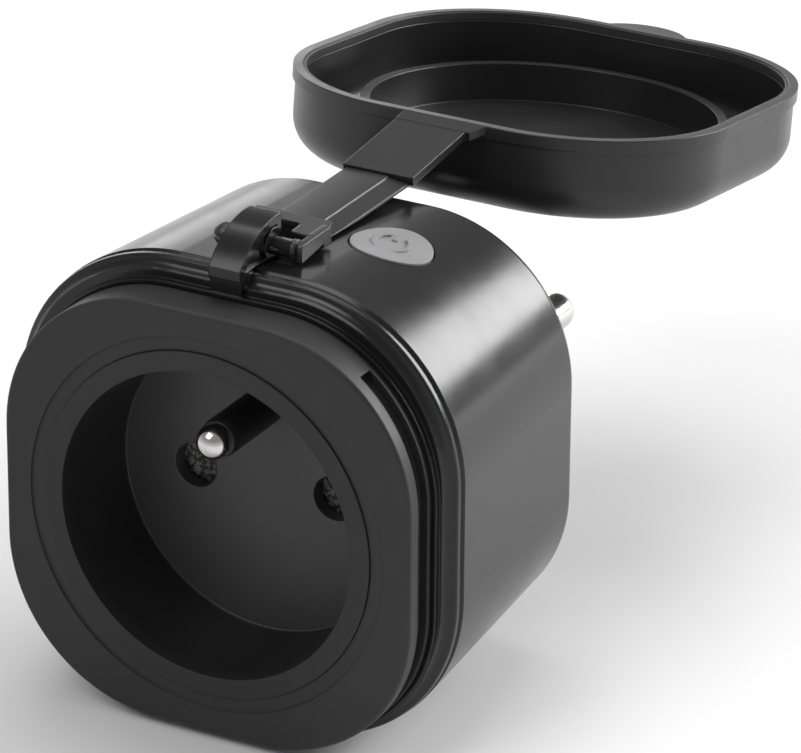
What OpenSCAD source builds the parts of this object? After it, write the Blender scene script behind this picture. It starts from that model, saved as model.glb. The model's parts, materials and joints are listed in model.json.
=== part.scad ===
// Outdoor smart plug: pass-through mains socket with a strapped weather lid.
// +X is to the right and +Z is up for someone facing the socket; +Y points into the wall.
// The origin is on the plug's axis, in the plane of the housing's flat back.

/* [Housing] */
// Half width of the housing at its front rim
body_half_w = 29.7; // [29:0.1:31]
// Half height of the housing at its front rim
body_half_h = 29.0; // [28:0.1:30]
// Corner radius of the housing at its front rim
body_corner = 21.7; // [20:0.1:23]
// Amount by which each side draws in towards the back
body_taper = 2.2; // [1:0.1:3]
// Depth of the housing from its front rim to its flat back
body_depth = 33.0; // [31:0.5:35]
// Wall thickness of the housing
wall = 2.0; // [1.6:0.1:2.4]
// Distance of the housing's centre below the plug's axis
body_drop = 1.5; // [0:0.1:3]

/* [Socket] */
// Distance of the socket's axis below the plug's axis
socket_drop = 2.5; // [0:0.1:3]
// Half width of the square front face
face_half_w = 27.3; // [27:0.1:28]
// Half height of the square front face
face_half_h = 27.0; // [26.5:0.1:27.5]
// Corner radius of the square front face
face_corner = 20.0; // [18:0.5:21]
// Height of the front face in front of the housing's back
face_height = 41.3; // [40:0.1:43]
// Radius of the socket well
well_r = 19.5; // [19.5:0.1:20]
// Depth of the socket well
well_depth = 14.2; // [13:0.1:15.5]
// Distance from the socket's axis to each contact hole
pin_pitch = 9.5; // [9.5:0.1:9.6]
// Radius of each contact hole
hole_r = 2.85; // [2.6:0.05:3]
// Distance of the earth pin above the socket's axis
earth_offset = 10.0; // [9.8:0.1:10.2]

/* [Plug] */
// Radius of the round plug base
base_r = 18.5; // [18:0.1:18.6]
// Length of the round plug base
base_len = 13.2; // [12.5:0.1:17]
// Radius of the plug pins
pin_r = 2.4; // [2.35:0.01:2.42]
// Free length of the plug pins
pin_len = 19.0; // [18.5:0.1:19.5]

/* [Lid] */
// Half width of the square lid at its rim
lid_half = 29.4; // [29:0.1:30]
// Corner radius of the lid at its rim
lid_corner = 20.9; // [20:0.1:22]
// Depth of the lid from its rim to its flat outside
lid_depth = 11.5; // [11:0.1:13]
// Radius of the lid's rounded outer edge
lid_edge = 5.0; // [4:0.1:6]
// Distance of the open lid's centre behind the housing's back
lid_y = 45.1; // [44:0.1:46]
// Height of the open lid's centre above the plug's axis
lid_z = 25.5; // [25:0.1:27]
// Tilt of the open lid about the X axis
lid_tilt = -7.5; // [-9:0.1:-6]
// Outer radius of the lid's inner sealing ring
lid_ring_r = 23.6; // [23.4:0.1:23.7]

/* [Hinge] */
// Distance of the hinge axle in front of the housing's back
axle_height = 28.3; // [27.5:0.1:29]
// Height of the hinge axle above the plug's axis
axle_z = 28.9; // [28.7:0.1:29.5]
// Radius of the hinge axle
axle_r = 1.1; // [1:0.05:1.5]
// Half width of the hook lug
hook_half_w = 2.1; // [1.8:0.1:2.3]
// Half width of the fork over its two cheeks
fork_half_w = 6.1; // [5.5:0.1:6.5]
// Distance behind the housing's back of the strap's fold line, negative towards the front
fold_y = -5.4; // [-6.5:0.1:-5]

/* [Button] */
// Radius of the power button
button_r = 5.0; // [4.5:0.1:5.2]
// Distance of the button to the right of the plug's axis
button_x = 10.7; // [9:0.1:12]
// Distance of the button in front of the housing's back
button_height = 15.6; // [14:0.1:18]

/* [Hidden] */
$fn = 64;

plastic = "#1b1b1c";
rubber = "#101010";
steel = "silver";
copper = "#c98a4b";
gap = 0.3;
// Wall of the collar's raised neck, with its clearance
neck_t = 0.6;
// Radius of the hook's front arc, and how far its sides are hollowed
hook_r = 10.9;
hook_hollow = 0.45;
rim = body_depth;
pin_root_r = 2.0;
// Radius of the earth pin's bare tip
tip_r = 2.15;
body_cx = body_half_w - body_corner;
body_cz = body_half_h - body_corner;
face_cx = face_half_w - face_corner;
face_cz = face_half_h - face_corner;
back_corner = body_corner - body_taper;
back_edge = 1.5;
rim_edge = 0.5;
face_edge = 0.5;
floor_height = face_height - well_depth;
floor_t = 2.0;
// Depth of the face's round groove that meets the lid's ring
groove_depth = 0.25;
collar_front = face_height - 5.1;
// Height of the board that carries the electronics, and of its front side
board_height = 4.0;
board_t = 1.6;
board_top = board_height + board_t;
seal_t = 0.5;
skirt_corner = body_corner - wall - 0.2;
carrier_back = 8.0;
carrier_front = 22.6;
carrier_half_w = 14.4;
shutter_t = 2.0;
shutter_travel = 6.2;
shutter_z = carrier_front + 0.2;
// Height of the shutter spring's two ends above the socket's axis
spring_low = -12.8;
spring_high = -3.6;
// Where the strap lies when the lid is open
strap_z = 27.4;
strap_t = 0.9;
strap_half_w = 4.3;
tab_y = 0.3;
tab_tilt = 5.7;
tab_len = 15.9;
// Lip where the tab joins the lid's rim: its depth and its two ends
lip_reach = 2.5;
lip_left = -4.85;
lip_right = 6.6;
screw_x = 18.0;
screw_z = 17.4;
lid_c = lid_half - lid_corner;
lid_wall = 1.3;
// Height of the lid's rim band, and how far the wall below it is set back
lid_rim = 1.6;
lid_step = 0.4;
// Finger tab at the far side of the lid: how far it stands out and its radius
finger_reach = 3.0;
finger_r = 7.0;
// Barbed end that keeps the strap's pin in the hook
barb_r = 1.45;
barb_end = 5.6;

// ---- building blocks ----

// Moves a shape from the socket's axis to the housing's own centre
module on_body() translate([0, socket_drop - body_drop, 0]) children();

// Turns a shape drawn looking at the socket so that its own Z points out of the socket
module facing(drop = 0) translate([0, 0, -drop]) rotate([90, 0, 0]) children();

// Flat rounded rectangle with corner centres at cx, cy
module round_rect(cx, cy, r) {
    square([2 * cx + 2 * r, 2 * cy], center = true);
    square([2 * cx, 2 * cy + 2 * r], center = true);
    for (sx = [-1, 1], sy = [-1, 1]) translate([sx * cx, sy * cy]) circle(r);
}

// Rounded-rectangle prism
module prism(cx, cy, r, z0, z1) translate([0, 0, z0]) linear_extrude(z1 - z0) round_rect(cx, cy, r);

// Rounded rectangle whose corner radius runs evenly from r0 to r1
module drafted(cx, cy, r0, r1, z0, z1) {
    for (sx = [-1, 1], sy = [-1, 1])
        translate([sx * cx, sy * cy, z0]) cylinder(h = z1 - z0, r1 = r0, r2 = r1);
    rotate([90, 0, 0]) linear_extrude(2 * cy, center = true)
        polygon([[-cx - r0, z0], [cx + r0, z0], [cx + r1, z1], [-cx - r1, z1]]);
    rotate([90, 0, 90]) linear_extrude(2 * cx, center = true)
        polygon([[-cy - r0, z0], [cy + r0, z0], [cy + r1, z1], [-cy - r1, z1]]);
}

// Carries a flat profile (radius, height) round a rounded rectangle
module swept(cx, cy) {
    for (k = [0, 1]) {
        rotate([0, 0, 180 * k]) translate([cx, cy, 0]) rotate_extrude(angle = 90) children();
        rotate([0, 0, 180 * k]) translate([-cx, cy, 0]) rotate([0, 0, 90])
            rotate_extrude(angle = 90) children();
        rotate([0, 0, 180 * k]) translate([cx, 0, 0]) rotate([90, 0, 0])
            linear_extrude(2 * cy, center = true) children();
        rotate([0, 0, 90 + 180 * k]) translate([cy, 0, 0]) rotate([90, 0, 0])
            linear_extrude(2 * cx, center = true) children();
    }
}

// Box from its middle in X and Y and its two heights
module block(x, y, dx, dy, z0, z1) translate([x - dx / 2, y - dy / 2, z0]) cube([dx, dy, z1 - z0]);

// Round bar along Z from its two heights
module bar(x, y, r, z0, z1) translate([x, y, z0]) cylinder(h = z1 - z0, r = r);

module tube(x, y, r, bore, z0, z1) difference() {
    bar(x, y, r, z0, z1);
    bar(x, y, bore, z0 - 1, z1 + 1);
}

// Places its children at the four housing screws
module at_screws() for (sx = [-1, 1], sy = [-1, 1]) translate([sx * screw_x, sy * screw_z, 0]) children();

// ---- housing ----

module housing_outside(grow = 0) {
    drafted(body_cx, body_cz, back_corner + grow, body_corner + grow, back_edge, rim - rim_edge);
    drafted(body_cx, body_cz, body_corner + grow, body_corner + grow - rim_edge, rim - rim_edge, rim);
    swept(body_cx, body_cz) translate([back_corner - back_edge, back_edge]) circle(back_edge + grow);
    prism(body_cx, body_cz, back_corner - back_edge, 0, rim);
}

// Turns to the power button: its own Z points out of the housing's surface
function button_turn() = asin((button_x - body_cx) / (back_corner + body_taper * button_height / rim));
button_surface = body_cz - body_drop
    + sqrt(pow(back_corner + body_taper * button_height / rim, 2) - pow(button_x - body_cx, 2));
module at_button() translate([button_x, -button_height, button_surface])
    rotate([0, button_turn(), 0]) children();

module rear_housing() color(plastic) difference() {
    facing(body_drop) difference() {
        union() {
            difference() {
                housing_outside();
                drafted(body_cx, body_cz, back_corner - wall, body_corner - wall, 2.2, rim + 0.01);
            }
            intersection() {
                at_screws() bar(0, 0, 3.2, 0.5, rim - 6);
                housing_outside(-0.5);
            }
        }
        at_screws() bar(0, 0, 1.7, -1, rim);
        at_screws() bar(0, 0, 3.0, -1, 1.4);
        translate([0, body_drop, 0]) bar(0, 0, base_r - 3, -1, 3);
    }
    at_button() bar(0, 0, button_r + 0.2, -5, 3);
}

module body_gasket() color(rubber) facing(body_drop)
    difference() {
        prism(body_cx, body_cz, body_corner - 0.7, rim, rim + gap);
        prism(body_cx, body_cz, body_corner - wall, rim - 1, rim + 1);
    }

// ---- plug ----

module plug_base() color("#222224") facing() difference() {
    union() {
        bar(0, 0, base_r, 1.0 - base_len, 0);
        translate([0, 0, -base_len]) cylinder(h = 1.0, r1 = base_r - 1.0, r2 = base_r);
        bar(0, 0, base_r - 3, -0.01, 2.2);
    }
    for (s = [-1, 1]) bar(s * pin_pitch, 0, pin_root_r, -base_len - 1, 4);
    bar(0, earth_offset, 3.0, -base_len - 1, 4);
    for (s = [-1, 1]) block(0, s * (base_r - 0.5), 7.0, 5.0, -base_len - 1, 4);
    for (s = [-1, 1]) block(0, s * 15.0, 6.0, 1.7, -5.2, 4);
    for (s = [-1, 1]) block(s * base_r, 0, 2.4, 3.6, -base_len - 1, -3.0);
}

module plug_pin(side) facing() {
    bar(side * pin_pitch, 0, pin_r, pin_r - base_len - pin_len, -base_len);
    bar(side * pin_pitch, 0, pin_root_r, -base_len, 3.0);
    translate([side * pin_pitch, 0, pin_r - base_len - pin_len]) sphere(pin_r);
    bar(side * pin_pitch, 0, 1.2, 3.0, board_top + 1.5);
}
module live_pin() color(steel) plug_pin(1);
module neutral_pin() color(steel) plug_pin(-1);

// Sprung earth strip in the base's side slot; side is 1 at the top and -1 at the bottom
module earth_clip(side) facing() intersection() {
    block(0, 0, 5.6, 60, -base_len + 0.6, 5.0);
    rotate([0, 0, side > 0 ? 0 : 180]) rotate([90, 0, 90]) linear_extrude(10, center = true)
        polygon([[14.6, 5.0], [15.0, 5.0], [15.0, -1.0], [17.2, -5.0], [17.4, -8.0], [16.2, -13.4],
            [15.7, -13.4], [16.8, -8.0], [16.6, -5.0], [14.6, -1.2]]);
}
module earth_clip_top() color(steel) earth_clip(1);
module earth_clip_bottom() color(steel) earth_clip(-1);

module earth_sleeve() color(steel) facing() difference() {
    bar(0, earth_offset, 3.0, -base_len + 0.8, 5.0);
    bar(0, earth_offset, 2.5, -base_len - 1, 4.0);
}

// ---- front ----

module front_cover() color(plastic) facing(socket_drop) difference() {
    union() {
        prism(face_cx, face_cz, face_corner - face_edge, rim + gap, face_height);
        prism(face_cx, face_cz, face_corner, rim + gap, face_height - face_edge);
        swept(face_cx, face_cz)
            translate([face_corner - face_edge, face_height - face_edge]) circle(face_edge);
        on_body() drafted(body_cx, body_cz, skirt_corner - 0.4, skirt_corner, rim - 6, rim + gap);
    }
    difference() {
        union() {
            prism(face_cx, face_cz, face_corner - wall, rim + 0.5, face_height - 2.2);
            on_body() prism(body_cx, body_cz, skirt_corner - 1.8, rim - 7, rim + 1);
        }
        on_body() at_screws() bar(0, 0, 3.0, rim - 5.9, face_height);
    }
    bar(0, 0, 21.0, 0, face_height + 1);
    bar(0, 0, 22.0, face_height - 1.2, face_height + 1);
    bar(0, 0, 23.85, face_height - groove_depth, face_height + 1);
    on_body() at_screws() bar(0, 0, 1.3, 0, face_height - 2.2);
    for (s = [-1, 1]) intersection() {
        difference() {
            prism(face_cx, face_cz, face_corner + 1, face_height - 4.3, face_height - 2.0);
            prism(face_cx, face_cz, face_corner - 1.1, 0, face_height);
        }
        block(s * 30, 0, 30, 45.5, 0, face_height);
    }
}

module socket_insert() color("#151516") facing(socket_drop) difference() {
    union() {
        bar(0, 0, 20.9, floor_height - floor_t, face_height - 1.2);
        bar(0, 0, 21.98, face_height - 1.2, face_height);
    }
    translate([0, 0, floor_height]) cylinder(h = well_depth + 0.01, r1 = well_r - 0.2, r2 = well_r);
    for (s = [-1, 1]) bar(s * pin_pitch, 0, hole_r, 0, face_height);
    bar(0, earth_offset, 2.2, 0, face_height);
    carrier_holes(0.8, 0, floor_height - 0.6);
}

module hinge_collar() color(plastic) difference() {
    union() {
        facing(socket_drop)
            prism(face_cx, face_cz, face_corner + neck_t, collar_front - 1.4, collar_front);
        facing(body_drop) {
            prism(body_cx, body_cz, body_corner - 1.5, rim + gap, collar_front - 1.2);
            swept(body_cx, body_cz) collar_edge();
        }
        hook();
    }
    facing(socket_drop) {
        prism(face_cx, face_cz, face_corner + 0.1, rim - 1, face_height);
        prism(face_cx, face_cz, face_corner + seal_t, rim + 0.7, rim + 1.7);
    }
    hinge_line() cylinder(h = 20, r = axle_r + 0.05, center = true);
    translate([0, -axle_height + 2, axle_z]) cube([20, 4, 2 * axle_r - 0.2], center = true);
}

// Outer edge of the collar: a rounded band that sweeps in to a hollow
module collar_edge() difference() {
    union() {
        translate([body_corner - 3, rim + gap]) square([2.5, 2.0]);
        translate([body_corner - 3, rim + gap]) square([2.9, 0.5]);
        translate([body_corner - 0.6, rim + gap + 0.5]) circle(0.5);
    }
    translate([body_corner - 0.1, rim + gap + 2.3]) circle(1.4);
}

// Hook lug, hollowed a little on both sides
module hook() translate([0, -face_height, 0]) rotate([90, 0, 90]) difference() {
    linear_extrude(2 * hook_half_w, center = true) hook_body();
    for (s = [-1, 1]) translate([0, 0, s * hook_half_w])
        linear_extrude(2 * hook_hollow, center = true) hook_side();
}

// Side outline of the hook lug: front arc, a foot on the collar and an underside over the housing
module hook_body() intersection() {
    translate([13.6, 21.6]) circle(hook_r);
    polygon([[5.0, 27.0], [5.3, 27.0], [5.3, 24.0], [8.0, 24.0], [8.0, 27.8], [14.6, 27.4],
        [14.6, 33.0], [5.0, 33.0]]);
}

// Part of the hook's side that is set back
module hook_side() difference() {
    intersection() {
        translate([13.6, 21.6]) circle(hook_r - 1.2);
        translate([6.2, 27.9]) square([7.4, 5.0]);
    }
    translate([face_height - axle_height, axle_z]) circle(axle_r + 1.1);
}

module hinge_line() translate([0, -axle_height, axle_z]) rotate([0, 90, 0]) children();

module neck_seal() color(rubber) facing(socket_drop)
    difference() {
        prism(face_cx, face_cz, face_corner + seal_t, rim + 0.7, rim + 1.7);
        prism(face_cx, face_cz, face_corner, rim, rim + 2);
    }

module earth_pin() color(steel) facing(socket_drop) {
    bar(0, earth_offset, 1.97, 12.0, face_height - 3.0);
    bar(0, earth_offset, tip_r, face_height - 3.15, face_height - 2.5);
    translate([0, earth_offset, face_height - 2.5]) sphere(tip_r);
    bar(0, earth_offset, 3.2, 10.8, 12.0);
}

module earth_pin_sleeve() color(rubber) facing(socket_drop) {
    difference() {
        union() {
            bar(0, earth_offset, 2.42, floor_height, face_height - 3.8);
            translate([0, earth_offset, face_height - 3.8]) cylinder(h = 0.6, r1 = 2.42, r2 = 2.2);
        }
        bar(0, earth_offset, 1.97, floor_height - 1, face_height);
    }
    tube(0, earth_offset, 2.2, 1.97, floor_height - floor_t, floor_height);
}

// ---- contacts and shutter ----

module shutter() color("#2a2a2b") facing(socket_drop) difference() {
    union() {
        block(0, 2.6, 26.0, 14.4, shutter_z, shutter_z + shutter_t);
        for (s = [-1, 1]) bar(s * pin_pitch, 0, 2.4, shutter_z, shutter_z + shutter_t + 0.1);
    }
    for (s = [-1, 1]) bar(s * pin_pitch, shutter_travel, hole_r + 0.1, 0, 40);
    block(0, 12.0, 5.6, 10.0, 0, 40);
    block(0, -4.6, 6.0, 2.0, 0, 40);
}

module shutter_spring() color(steel)
    translate([0, -shutter_z - shutter_t / 2, spring_low - socket_drop])
        tube(0, 0, 0.9, 0.6, 0, spring_high - spring_low);

// Places the carrier's two screws and their holes
module carrier_holes(r, z0, z1) for (s = [-1, 1]) bar(s * 12.4, -12.3, r, z0, z1);

module contact_carrier() color("#b9b4a6") facing(socket_drop) difference() {
    block(0, -0.5, 2 * carrier_half_w, 27.0, carrier_back, shutter_z + shutter_t + 0.1);
    block(0, -0.5, 2 * carrier_half_w - 2.4, 24.6, carrier_front, 30);
    for (s = [-1, 1]) block(s * pin_pitch, 0, 7.6, 8.0, carrier_back + 1.2, 30);
    for (s = [-1, 1]) block(s * pin_pitch, -3.4, 4.4, 1.2, 0, carrier_back + 2);
    carrier_holes(0.8, 0, 30);
    block(0, earth_offset, 8.0, 8.0, 0, 30);
    block(0, -9.0, 12.0, 4.0, 0, carrier_front - 2);
}

// Sprung leaf of a front contact, seen from its edge
module contact_leaf() polygon([[2.2, 9.4], [2.8, 9.4], [2.8, 12.0], [2.5, 17.0], [3.3, 21.8],
    [2.8, 22.0], [1.9, 17.0], [2.2, 12.0]]);

// Pair of sprung leaves that grips one pin; side is 1 for live and -1 for neutral
module socket_contact(side) facing(socket_drop) translate([side * pin_pitch, 0, 0]) {
    block(0, 0, 5.6, 6.0, carrier_back + 1.4, carrier_back + 2.0);
    for (turn = [0, 180])
        rotate([90, 0, turn]) linear_extrude(6.0, center = true) contact_leaf();
}
module live_contact() color(copper) socket_contact(1);
module neutral_contact() color(copper) socket_contact(-1);

// Strip that joins the front earth pin, the rear sleeve and both side clips
module earth_bar() color(copper) facing() difference() {
    union() {
        block(0, 0, 5.6, 32.0, 5.0, 5.6);
        block(0, earth_offset - socket_drop, 5.6, 6.4, 5.0, 10.8);
    }
    block(0, earth_offset - socket_drop + 0.6, 6.0, 6.4, 5.6, 10.2);
}

// Strip from a front contact down to the board; side is 1 for live and -1 for neutral
module busbar(side) facing(socket_drop) {
    block(side * pin_pitch, -3.4, 4.0, 0.8, board_top, carrier_back + 1.4);
    block(side * pin_pitch, -4.6, 4.0, 3.2, board_top, board_top + 0.6);
}
module live_busbar() color(copper) busbar(1);
module neutral_busbar() color(copper) busbar(-1);

// ---- electronics ----

module main_board() color("#1f5a38") facing(body_drop) difference() {
    prism(body_cx, body_cz, back_corner - wall - 1.0, board_height, board_top);
    at_screws() bar(0, 0, 3.6, 0, 10);
    translate([0, body_drop, 0]) {
        for (s = [-1, 1]) bar(s * pin_pitch, 0, 1.3, 0, 10);
        block(0, 0, 7.0, 33.0, 0, 10);
    }
}

module relay() color("#16161a") facing(body_drop) {
    block(19.2, -1.0, 8.4, 24.0, board_top + 0.3, board_top + 15.5);
    block(19.2, -1.0, 7.6, 23.2, board_top, board_top + 0.4);
}

module transformer() color("#caa54a") facing(body_drop) {
    block(-19.4, 8.0, 8.0, 10.0, board_top, board_top + 2.0);
    bar(-19.4, 8.0, 3.0, board_top + 1.9, board_top + 8.1);
    block(-19.4, 8.0, 8.0, 10.0, board_top + 8.0, board_top + 10.0);
    for (s = [-1, 1]) block(-19.4, 8.0 + s * 4.2, 8.0, 1.6, board_top + 2.0, board_top + 8.0);
}

module bulk_capacitors() color("#23355c") facing(body_drop) for (k = [0, 1]) {
    bar(-19.0, -1.2 - 7.8 * k, 3.8, board_top, board_top + 11.0);
}

module filter_capacitor() color("#d8a53a") facing(body_drop)
    block(0, -19.5, 18.0, 6.0, board_top, board_top + 11.0);

module rectifier() color("#141414") facing(body_drop)
    block(-9.5, 18.0, 6.4, 4.6, board_top, board_top + 2.4);

module varistor() color("#2f6db0") facing(body_drop) translate([-1.5, 19.0, board_top + 5.0])
    rotate([90, 0, 0]) cylinder(h = 3.4, r = 4.4, center = true);

module fuse_resistor() color("#3f8a54") facing(body_drop) translate([12.0, -20.0, board_top + 1.5])
    rotate([0, 90, 0]) cylinder(h = 4.6, r = 1.5, center = true);

module shunt_resistor() color("#8d8d90") facing(body_drop)
    block(11.0, 17.0, 6.4, 3.2, board_top, board_top + 0.8);

module metering_chip() color("#141414") facing(body_drop)
    block(-11.5, -19.5, 4.0, 5.0, board_top, board_top + 1.5);

module wifi_board() color("#123c66") facing(body_drop)
    block(-5.0, 23.2, 14.0, 0.9, board_top, board_top + 20.0);

module wifi_shield() color(steel) facing(body_drop)
    block(-5.0, 21.8, 12.0, 1.9, board_top + 1.0, board_top + 14.0);

// ---- power button ----

module control_board() color("#1f5a38") at_button() translate([0, 0, -6.9])
    cube([11.0, 13.0, 1.2], center = true);

module tact_switch() color("#202022") at_button() difference() {
    block(0, 0, 6.0, 6.0, -6.3, -3.2);
    bar(0, 0, 1.8, -5.6, 0);
}

module switch_plunger() color("#e8e8e8") at_button() bar(0, 0, 1.7, -4.2, -2.4);

module status_led() color("#9ad0ff") at_button() block(0, 5.2, 1.6, 0.8, -6.3, -5.7);

// Power sign: a broken ring with a bar at its gap
module power_sign() {
    difference() {
        circle(2.5);
        circle(1.85);
        translate([-1.0, 0.6]) square([2.0, 3]);
    }
    translate([-0.33, 0.6]) square([0.66, 2.3]);
}

module button_cap() color("#8f9092") {
    intersection() {
        at_button() bar(0, 0, button_r, -1.6, 2);
        facing(body_drop) housing_outside(0.15);
    }
    at_button() bar(0, 0, 1.4, -2.4, -1.5);
    at_button() translate([0, 0, -0.3]) linear_extrude(0.55) power_sign();
}

// ---- fasteners ----

module housing_screws() color(steel) facing(body_drop) at_screws() difference() {
    union() {
        bar(0, 0, 2.7, 0.3, 1.4);
        bar(0, 0, 1.3, 1.4, rim + 1.5);
    }
    block(0, 0, 3.2, 0.6, 0, 0.8);
    block(0, 0, 0.6, 3.2, 0, 0.8);
}

module carrier_screws() color(steel) facing(socket_drop) {
    carrier_holes(1.6, carrier_back - 1.2, carrier_back);
    carrier_holes(0.8, carrier_back, floor_height - 1.0);
}

// ---- lid, drawn open ----

module on_lid() translate([0, lid_y, lid_z]) rotate([lid_tilt, 0, 0]) children();

module lid_outside(inset) {
    prism(lid_c, lid_c, lid_corner - inset, lid_edge - lid_depth, 0);
    prism(lid_c, lid_c, lid_corner - lid_edge, inset - lid_depth, 0);
    swept(lid_c, lid_c) translate([lid_corner - lid_edge, lid_edge - lid_depth]) circle(lid_edge - inset);
}

module lid_shell() color(plastic) {
    on_lid() {
        difference() {
            union() {
                lid_outside(lid_step);
                prism(lid_c, lid_c, lid_corner, -lid_rim, 0);
                bar(0, lid_half + finger_reach - finger_r, finger_r, -lid_rim, -0.05);
            }
            lid_outside(lid_step + lid_wall);
            prism(lid_c, lid_c, lid_corner - lid_wall, -1.2, 1);
        }
        tube(0, 0, lid_ring_r, lid_ring_r - lid_wall, 1.0 - lid_depth, -4.75);
    }
    lid_tab();
}

// Flat tab that carries the lid on its strap, and the lip where it meets the lid's rim
module lid_tab() translate([0, tab_y, strap_z + 0.3]) rotate([tab_tilt, 0, 0]) {
    block(0, tab_len / 2, 9.6, tab_len, -1.1, 0);
    translate([0, 0, -1.1]) linear_extrude(1.15)
        polygon([[lip_left, tab_len - lip_reach], [lip_right - 1.2, tab_len - lip_reach],
            [lip_right, tab_len], [lip_left, tab_len]]);
}

module lid_seal() color("#1c1c1d") on_lid() difference() {
    prism(lid_c, lid_c, lid_corner - lid_wall, -1.2, -0.1);
    prism(lid_c, lid_c, lid_corner - 1.7, -4, 1);
}

module strap_end() color(plastic) difference() {
    translate([0, fold_y + 0.15, strap_z]) block(0, (tab_y - fold_y - 0.15) / 2, 2 * strap_half_w,
        tab_y - fold_y - 0.15, -strap_t, 0);
    block(3.2, 0, 3.2, 80, strap_z - 0.35, strap_z + 1);
}

// Front half of the strap with its crossbar, its cheek and the pin that turns in the hook
module strap_fork() color(plastic) difference() {
    union() {
        rotate([90, 0, 90]) linear_extrude(2 * strap_half_w, center = true) strap_side();
        block(0.4, -21.75, 10.4, 2.3, strap_z - 0.3, axle_z + 0.9);
        translate([fork_half_w - 1.0, 0, 0]) rotate([90, 0, 90]) linear_extrude(1.0) cheek_side();
        block(4.4, -23.7, 3.4, 4.2, axle_z + 0.3, axle_z + 0.9);
        strap_pin();
    }
    block(3.2, -11.2, 3.2, 11.4, strap_z - 0.35, strap_z + 0.01);
    translate([-barb_end, -axle_height, axle_z]) cube([5.4, 2 * barb_r + 1, 0.5], center = true);
}

// Side outline of the cheek, lower at its front end
module cheek_side() polygon([[-29.0, axle_z - 1.4], [-29.0, axle_z + 0.9], [-22.1, axle_z + 0.9],
    [-22.1, axle_z - 0.5]]);

// Side outline of the strap's front half, thinner where the housing is at its highest
module strap_side() polygon([[-21.0, strap_z], [-21.0, strap_z - 0.4], [-12.0, strap_z - strap_t],
    [fold_y - 0.15, strap_z - strap_t], [fold_y - 0.15, strap_z]]);

// Pin with its barbed end, drawn from the barb towards the cheek
module strap_pin() translate([0, -axle_height, axle_z]) rotate([0, 90, 0]) {
    bar(0, 0, axle_r, -barb_end, fork_half_w - 0.5);
    bar(0, 0, barb_r, 1.0 - barb_end, -hook_half_w - gap);
    translate([0, 0, -barb_end]) cylinder(h = 1.0, r1 = barb_r - 0.6, r2 = barb_r);
}

rear_housing();
plug_base();
live_pin();
neutral_pin();
earth_clip_top();
earth_clip_bottom();
earth_sleeve();
front_cover();
socket_insert();
hinge_collar();
body_gasket();
neck_seal();
earth_pin();
earth_pin_sleeve();
shutter();
shutter_spring();
contact_carrier();
live_contact();
neutral_contact();
earth_bar();
live_busbar();
neutral_busbar();
main_board();
relay();
transformer();
bulk_capacitors();
filter_capacitor();
rectifier();
varistor();
fuse_resistor();
shunt_resistor();
metering_chip();
wifi_board();
wifi_shield();
control_board();
tact_switch();
status_led();
button_cap();
switch_plunger();
housing_screws();
carrier_screws();
lid_shell();
lid_seal();
strap_end();
strap_fork();
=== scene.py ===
"""Outdoor smart plug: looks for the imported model, in metres and in the model's own frame."""
import json
import math

import bmesh
import bpy
from mathutils import Matrix, Vector


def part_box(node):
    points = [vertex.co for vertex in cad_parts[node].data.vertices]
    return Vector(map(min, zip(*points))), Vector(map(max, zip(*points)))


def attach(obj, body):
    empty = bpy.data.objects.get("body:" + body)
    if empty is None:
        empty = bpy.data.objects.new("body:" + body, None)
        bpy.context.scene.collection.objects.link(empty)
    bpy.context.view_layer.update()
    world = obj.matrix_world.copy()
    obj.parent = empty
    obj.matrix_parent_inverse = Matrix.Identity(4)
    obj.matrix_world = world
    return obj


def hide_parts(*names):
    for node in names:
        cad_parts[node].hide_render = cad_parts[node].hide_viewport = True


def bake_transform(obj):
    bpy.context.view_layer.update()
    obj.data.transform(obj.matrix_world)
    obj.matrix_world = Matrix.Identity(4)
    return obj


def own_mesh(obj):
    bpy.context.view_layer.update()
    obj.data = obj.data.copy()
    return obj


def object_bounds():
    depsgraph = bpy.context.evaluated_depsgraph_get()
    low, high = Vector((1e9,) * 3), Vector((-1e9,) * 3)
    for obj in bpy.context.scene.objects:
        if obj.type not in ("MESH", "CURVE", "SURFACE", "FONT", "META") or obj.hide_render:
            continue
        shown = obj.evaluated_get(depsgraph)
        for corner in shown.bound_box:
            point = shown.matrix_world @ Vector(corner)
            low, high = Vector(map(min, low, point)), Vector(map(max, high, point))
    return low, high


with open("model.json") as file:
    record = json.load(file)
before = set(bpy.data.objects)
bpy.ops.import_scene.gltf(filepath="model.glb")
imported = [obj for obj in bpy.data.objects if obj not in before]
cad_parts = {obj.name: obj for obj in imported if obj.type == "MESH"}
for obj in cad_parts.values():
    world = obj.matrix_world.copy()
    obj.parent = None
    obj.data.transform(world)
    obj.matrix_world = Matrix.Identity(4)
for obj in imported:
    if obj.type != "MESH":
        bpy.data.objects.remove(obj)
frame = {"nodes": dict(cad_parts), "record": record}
cad_low, cad_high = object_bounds()
nodes = frame["nodes"]
MM = 0.001


# ---- camera, solved from the outlines of the round well and the housing ----

AZIMUTH, ELEVATION, ROLL = (math.radians(v) for v in (28.45, 24.31, 0.47))
AIM = Vector((0.01653, -0.02402, 0.01369))
DISTANCE = 0.610
LENS_MM, SENSOR_MM = 235.1, 36


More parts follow.
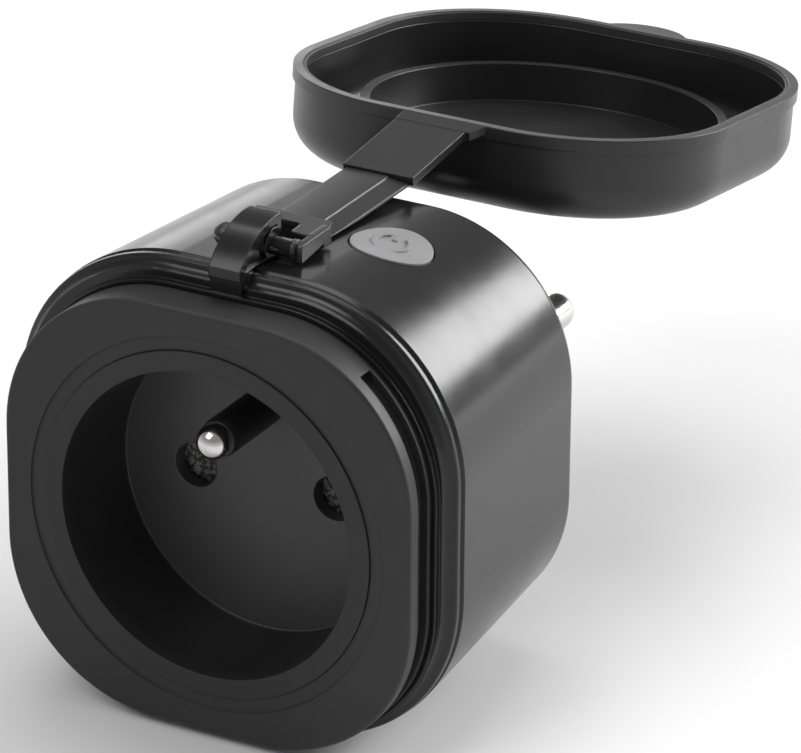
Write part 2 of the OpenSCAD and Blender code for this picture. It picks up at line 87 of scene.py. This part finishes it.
def add_camera():
    back = Vector((math.sin(AZIMUTH) * math.cos(ELEVATION), -math.cos(AZIMUTH) * math.cos(ELEVATION),
                   math.sin(ELEVATION)))
    flat_right = Vector((math.cos(AZIMUTH), math.sin(AZIMUTH), 0))
    flat_up = back.cross(flat_right)
    right = flat_right * math.cos(ROLL) + flat_up * math.sin(ROLL)
    up = flat_up * math.cos(ROLL) - flat_right * math.sin(ROLL)
    data = bpy.data.cameras.new("camera")
    data.lens, data.sensor_width, data.sensor_fit = LENS_MM, SENSOR_MM, "HORIZONTAL"
    data.clip_start, data.clip_end = 0.01, 20
    camera = bpy.data.objects.new("camera", data)
    bpy.context.scene.collection.objects.link(camera)
    turn = Matrix((right, up, back)).transposed().to_4x4()
    camera.matrix_world = Matrix.Translation(AIM + back * DISTANCE) @ turn
    bpy.context.scene.camera = camera


add_camera()


# ---- materials ----

WELL_DEPTH = 14.2 * MM


class Nodes:
    """A material's node tree with its Principled shader."""

    def __init__(self, name):
        self.material = bpy.data.materials.new(name)
        self.material.use_nodes = True
        self.tree = self.material.node_tree
        self.tree.nodes.clear()
        self.shader = self.add("ShaderNodeBsdfPrincipled")
        output = self.add("ShaderNodeOutputMaterial")
        self.link(self.shader.outputs[0], output.inputs[0])
        self.place = self.add("ShaderNodeTexCoord").outputs["Object"]

    def add(self, kind, **settings):
        node = self.tree.nodes.new(kind)
        for key, value in settings.items():
            setattr(node, key, value)
        return node

    def link(self, out, into):
        self.tree.links.new(out, into)

    def noise(self, scale, detail=3.0, rough=0.55, stretch=None):
        node = self.add("ShaderNodeTexNoise")
        node.inputs["Scale"].default_value = scale
        node.inputs["Detail"].default_value = detail
        node.inputs["Roughness"].default_value = rough
        place = self.place
        if stretch:
            mapping = self.add("ShaderNodeMapping")
            mapping.inputs["Scale"].default_value = stretch
            self.link(place, mapping.inputs["Vector"])
            place = mapping.outputs[0]
        self.link(place, node.inputs["Vector"])
        return node.outputs["Fac"]

    def spread(self, value, low, high, start=0.3, end=0.7):
        node = self.add("ShaderNodeMapRange")
        for key, number in (("From Min", start), ("From Max", end), ("To Min", low), ("To Max", high)):
            node.inputs[key].default_value = number
        self.link(value, node.inputs["Value"])
        return node.outputs[0]

    def tint(self, value, low, high, start=0.3, end=0.7):
        node = self.add("ShaderNodeValToRGB")
        ramp = node.color_ramp.elements
        ramp[0].position, ramp[0].color = start, (*low, 1)
        ramp[1].position, ramp[1].color = end, (*high, 1)
        self.link(value, node.inputs[0])
        return node.outputs[0]

    def bump(self, heights, edge=None):
        """Stacks (value, depth in metres) pairs into one bumped normal."""
        normal = None
        if edge:
            bevel = self.add("ShaderNodeBevel", samples=6)
            bevel.inputs["Radius"].default_value = edge
            normal = bevel.outputs[0]
        for value, depth in heights:
            node = self.add("ShaderNodeBump")
            node.inputs["Strength"].default_value = 1.0
            node.inputs["Distance"].default_value = depth
            self.link(value, node.inputs["Height"])
            if normal:
                self.link(normal, node.inputs["Normal"])
            normal = node.outputs[0]
        self.link(normal, self.shader.inputs["Normal"])

    def set(self, **values):
        for key, value in values.items():
            self.shader.inputs[key.replace("_", " ")].default_value = value


def scaled(color, share):
    return tuple(c * share for c in color)


def moulded(name, color, rough, gloss=0.5, grain=0.0, grain_size=0.25, edge=0.25, waves=0.0, coat=0.0):
    """Moulded plastic or rubber: fine grain, faint flow marks and an uneven sheen. Sizes in mm."""
    m = Nodes(name)
    cloud = m.noise(55, 4.0)
    m.link(m.tint(cloud, scaled(color, 0.88), scaled(color, 1.12)), m.shader.inputs["Base Color"])
    patches = m.noise(130, 5.0, 0.65)
    m.link(m.spread(patches, rough - 0.035, rough + 0.045), m.shader.inputs["Roughness"])
    heights = [(m.noise(1000 / grain_size, 2.0, 0.6), grain * MM)]
    if waves:
        heights.append((m.noise(90, 2.0), waves * MM))
    m.bump(heights, edge * MM if edge else None)
    m.set(Specular_IOR_Level=gloss, Coat_Weight=coat, Coat_Roughness=0.12)
    return m.material


def painted_well_shading(name, rim, painted_wall_shade, floor):
    """Socket insert: the face's tone at its rim, painted shade darkening down the wall and painted light on
    the floor, set by depth into the well.
    """
    m = Nodes(name)
    split = m.add("ShaderNodeSeparateXYZ")
    m.link(m.place, split.inputs[0])
    front = cad_low.y
    depth = m.spread(split.outputs["Y"], 0, 1, front, front + WELL_DEPTH)
    rim_end, wall_start, wall_end, floor_start = 0.10, 0.14, 0.96, 0.99
    # The colour ramp paints shade on the well's wall and light on its floor by depth, in place of real
    # shading.
    ramp = m.add("ShaderNodeValToRGB")
    stops = ramp.color_ramp.elements
    stops[0].position, stops[0].color = rim_end, (*rim, 1)
    stops[1].position, stops[1].color = floor_start, (*floor, 1)
    for position in (wall_start, wall_end):
        stops.new(position).color = (*painted_wall_shade, 1)
    m.link(depth, ramp.inputs[0])
    m.link(ramp.outputs[0], m.shader.inputs["Base Color"])
    m.link(m.spread(depth, 0.40, 0.55, rim_end, wall_start), m.shader.inputs["Specular IOR Level"])
    patches = m.spread(m.noise(130, 5.0, 0.65), -0.035, 0.045)
    rough = m.add("ShaderNodeMath", operation="ADD")
    m.link(m.spread(depth, 0.50, 0.40, rim_end, wall_start), rough.inputs[0])
    m.link(patches, rough.inputs[1])
    m.link(rough.outputs[0], m.shader.inputs["Roughness"])
    m.bump([(m.noise(4000, 2.0, 0.6), 0.006 * MM)], 0.25 * MM)
    return m.material


def glint_speckled(name, dark, light, rough, size):
    """Coarse plastic with light flecks painted in as glints on its grain, over a real fleck bump; size is
    the flecks' spacing in mm.
    """
    m = Nodes(name)
    flecks_with_painted_glints = m.noise(1000 / size, 2.0, 0.7)
    # The light fleck colour is painted glints; the same flecks give the real bump below.
    m.link(m.tint(flecks_with_painted_glints, dark, light, 0.46, 0.60), m.shader.inputs["Base Color"])
    m.link(m.spread(m.noise(600, 3.0), rough - 0.1, rough + 0.1), m.shader.inputs["Roughness"])
    m.bump([(flecks_with_painted_glints, 0.12 * MM)])
    return m.material


def metal(name, color, rough, brushed=None, scratch=0.004, edge=0.15):
    """Plated or drawn metal with fine scratches; brushed is the stretch of its lines."""
    m = Nodes(name)
    cloud = m.noise(240, 4.0)
    m.link(m.tint(cloud, scaled(color, 0.82), color), m.shader.inputs["Base Color"])
    m.link(m.spread(m.noise(500, 5.0, 0.7), rough - 0.06, rough + 0.08), m.shader.inputs["Roughness"])
    lines = m.noise(900, 3.0, 0.7, brushed or (1, 1, 1))
    m.bump([(lines, scratch * MM)], edge * MM)
    m.set(Metallic=1.0)
    return m.material


def circuit(name, color):
    """Solder mask with faint copper tracks under it."""
    m = Nodes(name)
    bricks = m.add("ShaderNodeTexBrick")
    bricks.inputs["Scale"].default_value = 260
    bricks.inputs["Mortar Size"].default_value = 0.03
    bricks.inputs["Color1"].default_value = (*color, 1)
    bricks.inputs["Color2"].default_value = (*scaled(color, 1.25), 1)
    bricks.inputs["Mortar"].default_value = (*scaled(color, 1.9), 1)
    m.link(m.place, bricks.inputs["Vector"])
    m.link(bricks.outputs["Color"], m.shader.inputs["Base Color"])
    m.link(m.spread(m.noise(400), 0.28, 0.4), m.shader.inputs["Roughness"])
    m.bump([(bricks.outputs["Fac"], 0.02 * MM)])
    return m.material


def winding(name, color):
    """Enamelled wire wound round a core."""
    m = Nodes(name)
    wave = m.add("ShaderNodeTexWave", bands_direction="Y")
    wave.inputs["Scale"].default_value = 700
    wave.inputs["Distortion"].default_value = 0.4
    m.link(m.place, wave.inputs["Vector"])
    m.link(m.tint(wave.outputs["Fac"], scaled(color, 0.5), color, 0.1, 0.9), m.shader.inputs["Base Color"])
    m.link(m.spread(m.noise(300), 0.3, 0.45), m.shader.inputs["Roughness"])
    m.bump([(wave.outputs["Fac"], 0.1 * MM)])
    return m.material


def clear(name, color):
    """See-through resin."""
    m = Nodes(name)
    m.link(m.spread(m.noise(800), 0.05, 0.15), m.shader.inputs["Roughness"])
    m.bump([(m.noise(2500), 0.002 * MM)])
    m.set(Base_Color=(*color, 1), Transmission_Weight=0.85, IOR=1.5)
    return m.material


MATERIALS = {
    "body_plastic": moulded("body_plastic", (0.009, 0.009, 0.0095), 0.19, gloss=0.38, grain=0.0008,
                            waves=0.002),
    "face_plastic": moulded("face_plastic", (0.017, 0.017, 0.0175), 0.50, gloss=0.40, grain=0.007,
                            grain_size=0.22),
    # Well insert: painted shade on its wall and painted light on its floor.
    "well_plastic": painted_well_shading("well_plastic", (0.014, 0.014, 0.0145), (0.010, 0.010, 0.0105),
                             (0.042, 0.042, 0.0425)),
    "base_plastic": moulded("base_plastic", (0.016, 0.016, 0.0165), 0.45, grain=0.005),
    "lid_plastic": moulded("lid_plastic", (0.013, 0.013, 0.0135), 0.32, grain=0.0015, waves=0.003),
    "strap_plastic": moulded("strap_plastic", (0.017, 0.017, 0.0175), 0.36, grain=0.004, waves=0.004),
    "seal_rubber": moulded("seal_rubber", (0.022, 0.022, 0.022), 0.45, gloss=0.6, grain=0.005),
    "button_rubber": moulded("button_rubber", (0.24, 0.24, 0.245), 0.5, gloss=0.4, grain=0.006,
                             grain_size=0.18),
    # Shutter: its light flecks are painted glints.
    "shutter_plastic": glint_speckled("shutter_plastic", (0.006, 0.006, 0.006), (0.16, 0.16, 0.16), 0.45, 0.55),
    "carrier_plastic": moulded("carrier_plastic", (0.45, 0.43, 0.38), 0.5, grain=0.006),
    "white_plastic": moulded("white_plastic", (0.72, 0.72, 0.7), 0.4, grain=0.003),
    "nickel": metal("nickel", (0.72, 0.71, 0.69), 0.16),
    "spring_steel": metal("spring_steel", (0.5, 0.5, 0.5), 0.28, (1, 1, 6)),
    "screw_steel": metal("screw_steel", (0.48, 0.48, 0.5), 0.3),
    "contact_copper": metal("contact_copper", (0.75, 0.42, 0.2), 0.26, (1, 5, 1)),
    "board_green": circuit("board_green", (0.015, 0.1, 0.04)),
    "board_blue": circuit("board_blue", (0.012, 0.045, 0.13)),
    "relay_black": moulded("relay_black", (0.015, 0.015, 0.017), 0.3, grain=0.003),
    "core_yellow": winding("core_yellow", (0.62, 0.4, 0.08)),
    "sleeve_blue": moulded("sleeve_blue", (0.02, 0.05, 0.17), 0.22, grain=0.002, coat=0.3),
    "film_orange": moulded("film_orange", (0.58, 0.3, 0.05), 0.3, grain=0.003),
    "varistor_blue": moulded("varistor_blue", (0.02, 0.13, 0.38), 0.25, grain=0.006, coat=0.3),
    "fuse_green": moulded("fuse_green", (0.04, 0.23, 0.08), 0.35, grain=0.005),
    "chip_black": moulded("chip_black", (0.015, 0.015, 0.015), 0.5, grain=0.006),
    "shield_steel": metal("shield_steel", (0.62, 0.62, 0.6), 0.3, (6, 1, 1)),
    "shunt_steel": metal("shunt_steel", (0.42, 0.42, 0.44), 0.35, (6, 1, 1)),
    "led_clear": clear("led_clear", (0.8, 0.88, 0.95)),
}

for part in frame["record"]["subparts"]:
    node = nodes[part["node"]]
    node.data.materials.clear()
    node.data.materials.append(MATERIALS[part["material_slot"]])


# ---- pieces ----

def millimetres(*values):
    return Vector(values) * MM


def new_piece(name, slot, mesh_data):
    """Makes an object from a bmesh and gives it the slot's material."""
    bmesh.ops.recalc_face_normals(mesh_data, faces=mesh_data.faces)
    mesh = bpy.data.meshes.new(name)
    mesh_data.to_mesh(mesh)
    mesh_data.free()
    mesh.materials.append(MATERIALS[slot])
    piece = bpy.data.objects.new(name, mesh)
    bpy.context.scene.collection.objects.link(piece)
    return piece


def skin(build, rings, smooth=True):
    """Joins rings of points into a closed skin, with a face at each end."""
    loops = [[build.verts.new(point) for point in ring] for ring in rings]
    count = len(loops[0])
    for one, two in zip(loops, loops[1:]):
        for k in range(count):
            face = build.faces.new((one[k], one[(k + 1) % count], two[(k + 1) % count], two[k]))
            face.smooth = smooth
    build.faces.new(loops[0])
    build.faces.new(list(reversed(loops[-1])))


def rounded(outline, radius, steps=4):
    """Rounds the corners of a flat outline; radius is one number or one for each corner."""
    result = []
    for k, corner in enumerate(outline):
        size = radius[k] if isinstance(radius, (list, tuple)) else radius
        here = Vector(corner)
        before = (Vector(outline[k - 1]) - here).normalized()
        after = (Vector(outline[(k + 1) % len(outline)]) - here).normalized()
        half = before.angle(after) / 2
        reach = size / math.tan(half)
        start, end = here + before * reach, here + after * reach
        for step in range(steps + 1):
            t = step / steps
            result.append(tuple(start * (1 - t) ** 2 + here * 2 * t * (1 - t) + end * t ** 2))
    return result


def slab(build, outline, place, low, high, edge=0.12):
    """Solid with a flat outline and softened rims; place turns (u, v, height) into a point."""
    middle = Vector((sum(u for u, _ in outline), sum(v for _, v in outline))) / len(outline)
    rings = []
    for height, inset in ((low, edge), (low + edge * 0.3, edge * 0.3), (low + edge, 0), (high - edge, 0),
                          (high - edge * 0.3, edge * 0.3), (high, edge)):
        ring = []
        for u, v in outline:
            point = Vector((u, v))
            point += (middle - point).normalized() * inset
            ring.append(place(point.x, point.y, height))
        rings.append(ring)
    skin(build, rings)


def lathe(build, profile, place, steps=48):
    """Solid of revolution from (along, radius) pairs."""
    rings = []
    for along, radius in profile:
        rings.append([place(along, radius * math.cos(2 * math.pi * k / steps),
                            radius * math.sin(2 * math.pi * k / steps)) for k in range(steps)])
    skin(build, rings)


# The strap in mm: its height and half width, where its sloping right strip starts, and its two ends
STRAP_TOP, STRAP_HALF, STRIP_LEFT = 27.4, 4.3, 1.6
STRAP_FRONT, STRAP_BACK = -21.0, 0.3
STRAP_STATIONS = 72
AXLE_Y, AXLE_Z = -28.3, 28.9


def strap_underside(y):
    """The strap is thinnest at its front end and reaches full thickness 9 mm behind it."""
    return 27.0 - 0.5 * min(1.0, max(0.0, (y - STRAP_FRONT) / 9.0))


def strap_section(y):
    low = strap_underside(y)
    corners = [(-STRAP_HALF, low), (-STRAP_HALF, STRAP_TOP), (STRIP_LEFT, STRAP_TOP),
               (STRIP_LEFT + 0.05, STRAP_TOP - 0.18), (STRAP_HALF, STRAP_TOP - 0.5), (STRAP_HALF, low)]
    return rounded(corners, [0.08, 0.12, 0.07, 0.05, 0.08, 0.03], 3)


def add_strap():
    """One band from the crossbar to the lid."""
    build = bmesh.new()
    rings = []
    for k in range(STRAP_STATIONS + 1):
        y = STRAP_FRONT + (STRAP_BACK - STRAP_FRONT) * k / STRAP_STATIONS
        rings.append([millimetres(x, y, z) for x, z in strap_section(y)])
    skin(build, rings)
    band = new_piece("strap_band", "strap_plastic", build)
    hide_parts("strap_end")
    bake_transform(band)


def add_strap_head():
    """Crossbar, arm and cheek in one piece, and the barbed pin that turns in the hook."""
    build = bmesh.new()

    def side(y, z, x):
        return millimetres(x, y, z)

    def along_axle(x, a, b):
        return millimetres(x, AXLE_Y + a, AXLE_Z + b)

    arm = [(-4.8, -20.6), (5.6, -20.6), (5.9, -21.9), (5.9, -25.7), (2.8, -25.7), (2.8, -22.9),
           (-4.8, -22.9)]
    slab(build, rounded(arm, [0.3, 0.5, 0.2, 0.3, 0.25, 0.9, 0.3]), millimetres, 29.1, 29.8, 0.14)
    bar = [(-4.8, -20.65), (5.5, -20.65), (5.5, -22.85), (-4.8, -22.85)]
    slab(build, rounded(bar, 0.35), millimetres, 27.1, 29.6, 0.14)
    cheek = [(-29.0, 27.5), (-29.0, 29.75), (-22.1, 29.8), (-22.1, 28.4)]
    slab(build, rounded(cheek, [0.25, 0.6, 0.3, 0.3]), side, 5.1, 6.1, 0.16)
    head = new_piece("strap_head", "strap_plastic", build)
    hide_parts("strap_fork")
    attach(head, "strap")

    build = bmesh.new()
    lathe(build, [(-5.6, 0.9), (-5.5, 1.0), (-4.7, 1.5), (-4.5, 1.5), (-2.5, 1.5), (-2.4, 1.42), (-2.4, 1.1),
                  (4.55, 1.1), (4.6, 1.16), (4.65, 1.24), (4.85, 1.24), (5.3, 1.24)], along_axle)
    pin = new_piece("strap_pin", "strap_plastic", build)
    build = bmesh.new()
    slit = [(-7.0, -0.24), (-7.0, 0.24), (2.5, 0.24), (3.4, 0.0), (2.5, -0.24)]
    skin(build, [[along_axle(x, reach, z) for x, z in slit] for reach in (-3, 3)], False)
    cutter = new_piece("slit", "strap_plastic", build)
    cut = pin.modifiers.new("slit", "BOOLEAN")
    cut.operation, cut.object, cut.solver = "DIFFERENCE", cutter, "EXACT"
    whole = pin.evaluated_get(bpy.context.evaluated_depsgraph_get())
    pin.data = bpy.data.meshes.new_from_object(whole)
    pin.modifiers.clear()
    bpy.data.objects.remove(cutter)
    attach(pin, "strap")


def add_spring():
    """Coil behind the well's floor that pushes the shutter up."""
    low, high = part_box("shutter_spring")
    middle = (low + high) / 2
    turns, per_turn, round_wire = 9.5, 20, 8
    wire = 0.14 * MM
    reach = (high.x - low.x) / 2 - wire
    total = int(turns * per_turn)
    rings = []
    for k in range(total + 1):
        angle = 2 * math.pi * k / per_turn
        centre = Vector((middle.x + reach * math.cos(angle), middle.y + reach * math.sin(angle),
                         low.z + wire + (high.z - low.z - 2 * wire) * k / total))
        out = Vector((math.cos(angle), math.sin(angle), 0))
        rings.append([centre + (out * math.cos(2 * math.pi * j / round_wire)
                                + Vector((0, 0, 1)) * math.sin(2 * math.pi * j / round_wire)) * wire
                      for j in range(round_wire)])
    build = bmesh.new()
    skin(build, rings)
    spring = new_piece("shutter_coil", "spring_steel", build)
    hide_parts("shutter_spring")
    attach(spring, "plug")
    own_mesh(spring)


add_strap()
add_strap_head()
add_spring()


# ---- studio ----

def add_floor():
    mesh = bpy.data.meshes.new("floor")
    half, low = 6.0, cad_low.z
    mesh.from_pydata([(-half, -half, low), (half, -half, low), (half, half, low), (-half, half, low)],
                     [], [(0, 1, 2, 3)])
    floor = bpy.data.objects.new("floor", mesh)
    bpy.context.scene.collection.objects.link(floor)
    m = Nodes("floor")
    m.link(m.tint(m.noise(3, 2.0), (0.75, 0.75, 0.75), (0.77, 0.77, 0.77)), m.shader.inputs["Base Color"])
    m.set(Roughness=0.85, Specular_IOR_Level=0.2)
    mesh.materials.append(m.material)


def add_softbox(name, place, aim, size, power):
    data = bpy.data.lights.new(name, "AREA")
    data.shape, data.size, data.size_y, data.energy = "RECTANGLE", size[0], size[1], power
    light = bpy.data.objects.new(name, data)
    bpy.context.scene.collection.objects.link(light)
    light.location = place
    light.rotation_euler = (Vector(aim) - Vector(place)).to_track_quat("-Z", "Y").to_euler()


def add_sky():
    """White near the horizon behind the object, greyer overhead and in front."""
    world = bpy.data.worlds.new("studio")
    bpy.context.scene.world = world
    world.use_nodes = True
    tree = world.node_tree
    place = tree.nodes.new("ShaderNodeTexCoord")
    split = tree.nodes.new("ShaderNodeSeparateXYZ")
    tree.links.new(place.outputs["Generated"], split.inputs[0])
    shares = []
    for axis, start, end, low, high in (("Z", 0.0, 0.45, 0.8, 0.36), ("Y", -0.4, 0.4, 0.80, 1.0)):
        ramp = tree.nodes.new("ShaderNodeMapRange")
        ramp.interpolation_type = "SMOOTHSTEP"
        for key, number in (("From Min", start), ("From Max", end), ("To Min", low), ("To Max", high)):
            ramp.inputs[key].default_value = number
        tree.links.new(split.outputs[axis], ramp.inputs["Value"])
        shares.append(ramp.outputs[0])
    product = tree.nodes.new("ShaderNodeMath")
    product.operation = "MULTIPLY"
    tree.links.new(shares[0], product.inputs[0])
    tree.links.new(shares[1], product.inputs[1])
    sky = tree.nodes["Background"]
    sky.inputs["Color"].default_value = (1, 1, 1, 1)
    tree.links.new(product.outputs[0], sky.inputs["Strength"])


def add_studio():
    add_sky()
    add_softbox("top", (-0.15, 0.30, 1.30), (0, 0, 0), (0.9, 0.9), 7)
    add_softbox("right_back", (0.62, 0.78, 0.44), (0, 0, 0), (0.80, 0.56), 15)
    add_softbox("left_back", (-0.82, 0.80, 0.16), (0, 0, 0), (0.8, 0.30), 1.2)
    add_softbox("front", (-0.40, -0.90, 1.20), (0, 0, 0), (0.8, 0.8), 8)
    bpy.context.scene.view_settings.view_transform = "Standard"


add_floor()
add_studio()
